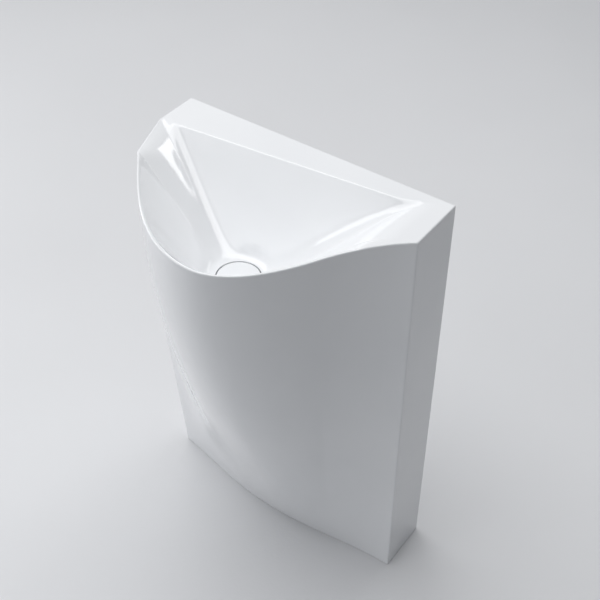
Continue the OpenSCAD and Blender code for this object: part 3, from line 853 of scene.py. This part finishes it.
def bracket(node, name, side):
    """An angle bracket bent from flat bar, with rounded corners and two holes in each leg."""
    low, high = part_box(node)
    leg = high.y - low.y
    corner_x = high.x if side > 0 else low.x
    inner_bend, corner_r = 2 * MM, 6 * MM
    bend = BRACKET_T + inner_bend
    arc = np.linspace(0, math.pi / 2, 7)
    path = [(leg, 0), (leg, BRACKET_T)]
    path += [(bend - inner_bend * math.sin(a), bend - inner_bend * math.cos(a)) for a in arc]
    path += [(BRACKET_T, leg), (0, leg)]
    path += [(bend - bend * math.cos(a), bend - bend * math.sin(a)) for a in arc]
    mesh = bpy.data.meshes.new(name)
    bm = bmesh.new()
    face = bm.faces.new([bm.verts.new((corner_x - side * u, high.y - v, low.z)) for u, v in path])
    lifted = bmesh.ops.extrude_face_region(bm, geom=[face])["geom"]
    lifted = [part for part in lifted if isinstance(part, bmesh.types.BMVert)]
    bmesh.ops.translate(bm, vec=(0, 0, high.z - low.z), verts=lifted)
    bmesh.ops.recalc_face_normals(bm, faces=bm.faces)
    ends = [e for e in bm.edges if is_leg_corner(e, corner_x, high.y, leg)]
    bmesh.ops.bevel(bm, geom=ends, offset=corner_r, segments=5, affect="EDGES", profile=0.5)
    bm.to_mesh(mesh)
    bm.free()
    obj = link(name, mesh)
    out = leg * BRACKET_HOLE_SHARE
    for z in screw_heights(low, high):
        across = Matrix.Translation((corner_x, high.y - out, z)) @ Matrix.Rotation(math.pi / 2, 4, "Y")
        back = Matrix.Translation((corner_x - side * out, high.y, z)) @ Matrix.Rotation(math.pi / 2, 4, "X")
        for place, r in ((across, SCREW_HOLE_R), (back, WALL_HOLE_R)):
            cut(obj, turned("hole", straight(r, -10 * MM, 10 * MM), place, 48), "DIFFERENCE")
    edges = obj.modifiers.new("edges", "BEVEL")
    edges.width, edges.segments, edges.limit_method = 0.35 * MM, 2, "ANGLE"
    edges.angle_limit = math.radians(50)
    return shaded(obj)


def is_leg_corner(edge, corner_x, back_y, leg):
    """Whether an edge is one of the short ones across the bar at the free corners of the legs."""
    a, b = (v.co for v in edge.verts)
    across = abs(a.z - b.z) < 1e-6 and abs((a - b).length - BRACKET_T) < 1e-5
    middle = (a + b) / 2
    return across and max(abs(middle.x - corner_x), abs(middle.y - back_y)) > leg - 1e-5


def screw_heights(low, high):
    """Heights of a bracket's two screws, from its box."""
    middle = (low.z + high.z) / 2
    return middle - SCREW_SPACING / 2, middle + SCREW_SPACING / 2


def bracket_screws():
    """Four button-head screws with hexagon sockets."""
    low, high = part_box("bracket_screws")
    bracket_low, bracket_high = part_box("bracket_right")
    head_r, head, shaft_r, socket_r = 4.5 * MM, 3 * MM, 2.5 * MM, 1.7 * MM
    socket_z = -1 * MM
    profile = [(0, socket_z), (socket_r, socket_z), (socket_r, -head), (socket_r + 1.2 * MM, -head),
               (head_r - 0.7 * MM, -head + 0.6 * MM), (head_r, -head + 1.8 * MM), (head_r, 0), (shaft_r, 0),
               (shaft_r, SCREW_LENGTH), (0, SCREW_LENGTH)]

    def hexagon(a, r, z):
        if z > socket_z + 0.2 * MM or r[0] > socket_r + 1e-6:
            return r
        return r * math.cos(math.pi / 6) / np.cos(a % (math.pi / 3) - math.pi / 6)

    out = (bracket_high.y - bracket_low.y) * BRACKET_HOLE_SHARE
    skin = Skin()
    for side in (-1, 1):
        for z in screw_heights(bracket_low, bracket_high):
            place = Matrix.Translation((side * (high.x - SCREW_LENGTH), WALL_Y - out, z))
            turned_skin(skin, profile, place @ Matrix.Rotation(side * math.pi / 2, 4, "Y"), 48, hexagon)
    return skin.build("socket_screws")


# ---- finishes ----

# the colour sockets of a mix node, which share their names with its other sockets
MIX_A, MIX_B, MIX_RESULT = 6, 7, 2


def mixed(nodes, links, factor, a, b):
    """A colour from `a` to `b`, which may be colours or other sockets."""
    node = nodes.new("ShaderNodeMix")
    node.data_type = "RGBA"
    links.new(factor, node.inputs["Factor"])
    for socket, colour in ((MIX_A, a), (MIX_B, b)):
        if isinstance(colour, tuple):
            node.inputs[socket].default_value = (*colour, 1)
        else:
            links.new(colour, node.inputs[socket])
    return node.outputs[MIX_RESULT]


class Finish:
    """A procedural material: one shader, and noises in the object's own metres that vary it."""

    def __init__(self, name, roughness, metallic=0.0):
        self.material = bpy.data.materials.new(name)
        self.material.use_nodes = True
        tree = self.material.node_tree
        self.nodes, self.links = tree.nodes, tree.links
        self.shader = self.nodes["Principled BSDF"]
        self.shader.inputs["Roughness"].default_value = roughness
        self.shader.inputs["Metallic"].default_value = metallic
        self.place = self.nodes.new("ShaderNodeTexCoord").outputs["Object"]

    def stretched(self, scale):
        """Coordinates squeezed along the axes, for grain that runs one way."""
        node = self.nodes.new("ShaderNodeMapping")
        node.inputs["Scale"].default_value = scale
        self.links.new(self.place, node.inputs["Vector"])
        return node.outputs["Vector"]

    def noise(self, grain, detail=2.0, place=None):
        """Cloudy noise from 0 to 1 whose features are about `grain` metres across."""
        node = self.nodes.new("ShaderNodeTexNoise")
        node.inputs["Scale"].default_value = 0.5 / grain
        node.inputs["Detail"].default_value = detail
        self.links.new(place or self.place, node.inputs["Vector"])
        return self.span(node.outputs["Fac"], 0.3, 0.7, 0.0, 1.0)

    def cells(self, size):
        """Irregular cells, such as zinc spangle."""
        node = self.nodes.new("ShaderNodeTexVoronoi")
        node.inputs["Scale"].default_value = 1.0 / size
        self.links.new(self.place, node.inputs["Vector"])
        grey = self.nodes.new("ShaderNodeRGBToBW")
        self.links.new(node.outputs["Color"], grey.inputs["Color"])
        return grey.outputs["Val"]

    def edges(self):
        """1 along the raised edges of a mesh, where it wears."""
        node = self.nodes.new("ShaderNodeNewGeometry")
        return self.span(node.outputs["Pointiness"], 0.52, 0.6, 0.0, 1.0)

    def span(self, value, from_low, from_high, low, high):
        """A value mapped from one range to another."""
        node = self.nodes.new("ShaderNodeMapRange")
        node.inputs["From Min"].default_value = from_low
        node.inputs["From Max"].default_value = from_high
        node.inputs["To Min"].default_value = low
        node.inputs["To Max"].default_value = high
        self.links.new(value, node.inputs["Value"])
        return node.outputs["Result"]

    def between(self, value, a, b):
        return mixed(self.nodes, self.links, value, a, b)

    def colour(self, value):
        self.links.new(value, self.shader.inputs["Base Color"])

    def roughness(self, value, low, high):
        self.links.new(self.span(value, 0.0, 1.0, low, high), self.shader.inputs["Roughness"])

    def bump(self, value, height, under=None):
        """Relief of about `height` metres, on top of `under` if given."""
        node = self.nodes.new("ShaderNodeBump")
        node.inputs["Distance"].default_value = height
        self.links.new(value, node.inputs["Height"])
        if under:
            self.links.new(under, node.inputs["Normal"])
        self.links.new(node.outputs["Normal"], self.shader.inputs["Normal"])
        return node.outputs["Normal"]


GEL_IOR = 1.6


def gel_coat(name):
    """Glossy white gel coat over cast mineral: almost even, with a faint hand-polished waviness."""
    f = Finish(name, 0.06)
    f.shader.inputs["IOR"].default_value = GEL_IOR
    f.colour(f.between(f.noise(0.12), (0.86, 0.87, 0.885), (0.83, 0.842, 0.86)))
    f.roughness(f.noise(0.03, 4.0), 0.06, 0.10)
    ripple = f.bump(f.noise(0.05, 1.0), 0.00006)
    f.bump(f.noise(0.0012, 2.0), 0.000002, ripple)
    return f.material


def chrome():
    """Polished chrome with faint smudges."""
    f = Finish("polished_chrome", 0.06, 1.0)
    f.colour(f.between(f.noise(0.02, 4.0), (0.80, 0.81, 0.83), (0.70, 0.71, 0.74)))
    f.roughness(f.noise(0.012, 6.0), 0.04, 0.16)
    f.bump(f.noise(0.02, 2.0), 0.00003)
    return f.material


def brushed_steel():
    """Turned stainless steel, with fine lines round the axis."""
    f = Finish("brushed_stainless", 0.3, 1.0)
    lines = f.noise(0.0006, 3.0, f.stretched((0.05, 0.05, 1.0)))
    f.colour(f.between(lines, (0.62, 0.62, 0.63), (0.50, 0.50, 0.51)))
    f.roughness(lines, 0.22, 0.38)
    f.bump(lines, 0.00003)
    return f.material


def machined_brass():
    """Bright machined brass, a little duller in patches and brighter on its edges."""
    f = Finish("machined_brass", 0.28, 1.0)
    tarnish = f.between(f.noise(0.008, 5.0), (0.72, 0.52, 0.22), (0.50, 0.34, 0.14))
    f.colour(f.between(f.edges(), tarnish, (0.86, 0.68, 0.36)))
    f.roughness(f.noise(0.005, 4.0), 0.2, 0.42)
    f.bump(f.noise(0.0008, 3.0, f.stretched((0.1, 0.1, 1.0))), 0.00004)
    return f.material


def galvanised():
    """Zinc-plated steel with spangle and rubbed edges."""
    f = Finish("zinc_plated_steel", 0.45, 1.0)
    spangle = f.cells(0.005)
    dull = f.between(spangle, (0.42, 0.43, 0.45), (0.60, 0.61, 0.63))
    f.colour(f.between(f.edges(), dull, (0.70, 0.71, 0.72)))
    f.roughness(spangle, 0.32, 0.55)
    f.bump(f.noise(0.0015, 4.0), 0.00006)
    return f.material


def moulded(name, light, dark, roughness):
    """Moulded plastic with a fine skin."""
    f = Finish(name, roughness)
    f.colour(f.between(f.noise(0.01, 3.0), light, dark))
    f.roughness(f.noise(0.004, 4.0), roughness - 0.06, roughness + 0.08)
    f.bump(f.noise(0.0005, 3.0), 0.00003)
    return f.material


def rubber():
    """Matt black rubber with a dusty bloom."""
    f = Finish("black_rubber", 0.7)
    f.colour(f.between(f.noise(0.006, 5.0), (0.016, 0.016, 0.017), (0.040, 0.040, 0.041)))
    f.roughness(f.noise(0.003, 4.0), 0.6, 0.85)
    f.bump(f.noise(0.0008, 4.0), 0.00008)
    return f.material


def painted_floor():
    """Pale smooth floor."""
    f = Finish("pale_floor", 0.5)
    f.colour(f.between(f.noise(0.6, 4.0), (0.72, 0.725, 0.74), (0.69, 0.695, 0.71)))
    f.roughness(f.noise(0.2, 4.0), 0.45, 0.6)
    f.bump(f.noise(0.004, 4.0), 0.0001)
    return f.material


FINISHES = {
    "glossy_white": gel_coat("white_gel_coat"),
    "cover_white": gel_coat("white_cover_coat"),
    "steel": brushed_steel(),
    "chrome": chrome(),
    "brass": machined_brass(),
    "white_plastic": moulded("white_plastic", (0.78, 0.78, 0.76), (0.70, 0.70, 0.68), 0.3),
    "grey_plastic": moulded("grey_plastic", (0.28, 0.285, 0.30), (0.23, 0.235, 0.25), 0.45),
    "rubber": rubber(),
    "galvanised_steel": galvanised(),
}


# ---- assembly ----

def stands_for(piece, node, body, slot):
    """Puts a piece in a CAD node's place."""
    piece.data.materials.clear()
    piece.data.materials.append(FINISHES[slot])
    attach(piece, body)
    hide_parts(node)


stands_for(basin_shell(), "basin_pedestal", "basin", "glossy_white")
stands_for(drain_cover(), "drain_cover", "drain_plug", "cover_white")
stands_for(cover_cap(), "cover_cap", "drain_plug", "steel")
stands_for(cover_stem(), "cover_stem", "drain_plug", "brass")
stands_for(waste_body(), "waste_body", "basin", "steel")
stands_for(under_gasket(), "under_gasket", "basin", "rubber")
stands_for(friction_washer(), "friction_washer", "basin", "white_plastic")
stands_for(waste_locknut(), "waste_locknut", "basin", "brass")
stands_for(tailpiece(), "tailpiece", "basin", "chrome")
stands_for(trap_inlet_nut(), "trap_inlet_nut", "basin", "chrome")
stands_for(trap_body(), "trap_body", "basin", "chrome")
stands_for(trap_cup(), "trap_cup", "cup", "chrome")
stands_for(trap_outlet_nut(), "trap_outlet_nut", "basin", "chrome")
stands_for(outlet_pipe(), "outlet_pipe", "basin", "chrome")
stands_for(wall_rosette(), "wall_rosette", "basin", "chrome")
stands_for(bracket("bracket_left", "left_angle_bracket", -1), "bracket_left", "basin", "galvanised_steel")
stands_for(bracket("bracket_right", "right_angle_bracket", 1), "bracket_right", "basin", "galvanised_steel")
stands_for(bracket_screws(), "bracket_screws", "basin", "steel")

CAD_FINISHES = {
    "rubber": ["cover_seal", "flange_gasket", "tailpiece_washer", "trap_inlet_washer", "trap_cup_seal",
               "trap_outlet_washer"],
    "white_plastic": ["cartridge_plunger", "cartridge_housing"],
    "grey_plastic": ["cartridge_cam", "trap_dip_tube"],
    "steel": ["cartridge_spring"],
    "brass": ["bracket_inserts"],
}
# these nodes keep their CAD shape and only get a material
for finish, names in CAD_FINISHES.items():
    for name in names:
        for place in frame["nodes"][name].material_slots:
            place.material = FINISHES[finish]


# ---- floor, light and camera ----

FLOOR_REACH = 8.0
FLOOR_SIDES = 96
RIM_CENTRE = (0, 0, HEIGHT)
SENSOR_WIDTH = 36


def floor():
    """A wide pale disc to stand on."""
    mesh = bpy.data.meshes.new("floor")
    a = np.linspace(0, 2 * math.pi, FLOOR_SIDES, endpoint=False)
    points = [(FLOOR_REACH * math.cos(t), FLOOR_REACH * math.sin(t), 0) for t in a]
    mesh.from_pydata(points, [], [tuple(range(len(points)))])
    mesh.materials.append(painted_floor())
    link("floor", mesh)


def softbox(name, place, target, width, height, power):
    """A rectangular light, in metres and watts, that the camera doesn't see."""
    light = bpy.data.lights.new(name, "AREA")
    light.shape, light.size, light.size_y = "RECTANGLE", width, height
    light.energy = power
    obj = link(name, light)
    obj.location = place
    obj.rotation_euler = (Vector(target) - Vector(place)).to_track_quat("-Z", "Y").to_euler()
    obj.visible_camera = False


def world(bright, dark, towards, backdrop):
    """Light from all round that is brightest from one direction, and the tone shown beyond the floor."""
    space = bpy.data.worlds.new("studio")
    space.use_nodes = True
    nodes, links = space.node_tree.nodes, space.node_tree.links
    facing = nodes.new("ShaderNodeVectorMath")
    facing.operation = "DOT_PRODUCT"
    facing.inputs[1].default_value = Vector(towards).normalized()
    links.new(nodes.new("ShaderNodeTexCoord").outputs["Generated"], facing.inputs[0])
    share = nodes.new("ShaderNodeMapRange")
    share.inputs["From Min"].default_value = -1
    links.new(facing.outputs["Value"], share.inputs["Value"])
    light = mixed(nodes, links, share.outputs["Result"], dark, bright)
    seen = nodes.new("ShaderNodeLightPath").outputs["Is Camera Ray"]
    shown = mixed(nodes, links, seen, light, backdrop)
    links.new(shown, nodes["Background"].inputs["Color"])
    bpy.context.scene.world = space


def camera(place, yaw, pitch, roll, lens):
    """Looks down by `pitch`, `yaw` to the left of +Y, turned by `roll` about its own axis, in degrees."""
    yaw, pitch, roll = map(math.radians, (yaw, pitch, roll))
    forward = Vector((-math.sin(yaw) * math.cos(pitch), math.cos(yaw) * math.cos(pitch), -math.sin(pitch)))
    right = Vector((math.cos(yaw), math.sin(yaw), 0))
    up = right.cross(forward)
    across = math.cos(roll) * right + math.sin(roll) * up
    upwards = math.cos(roll) * up - math.sin(roll) * right
    data = bpy.data.cameras.new("camera")
    data.lens, data.sensor_width = lens, SENSOR_WIDTH
    obj = link("camera", data)
    turn = Matrix((across, upwards, -forward)).transposed().to_4x4()
    obj.matrix_world = Matrix.Translation(place) @ turn
    bpy.context.scene.camera = obj


floor()
world(
    bright=(0.44, 0.45, 0.465), dark=(0.03, 0.032, 0.035), towards=(-1, -0.6, 0.4),
    backdrop=(0.60, 0.605, 0.615),
)
softbox("overhead", place=(-1.3, 0.2, 5.0), target=(-0.9, 0.1, HEIGHT), width=4.4, height=4.8, power=176)
softbox("front_left", place=(-1.4, -2.6, 3.4), target=RIM_CENTRE, width=1.5, height=1.5, power=6)
softbox("low_left", place=(-3.0, -0.7, 0.9), target=(0, 0, 0.5), width=2.0, height=1.4, power=24)
softbox("back", place=(0.2, 2.1, 2.2), target=RIM_CENTRE, width=1.0, height=0.5, power=7)
camera(place=(0.9064, -1.1419, 1.9487), yaw=35.18, pitch=42.006, roll=0.49, lens=67.88)
bpy.context.scene.view_settings.view_transform = "Standard"
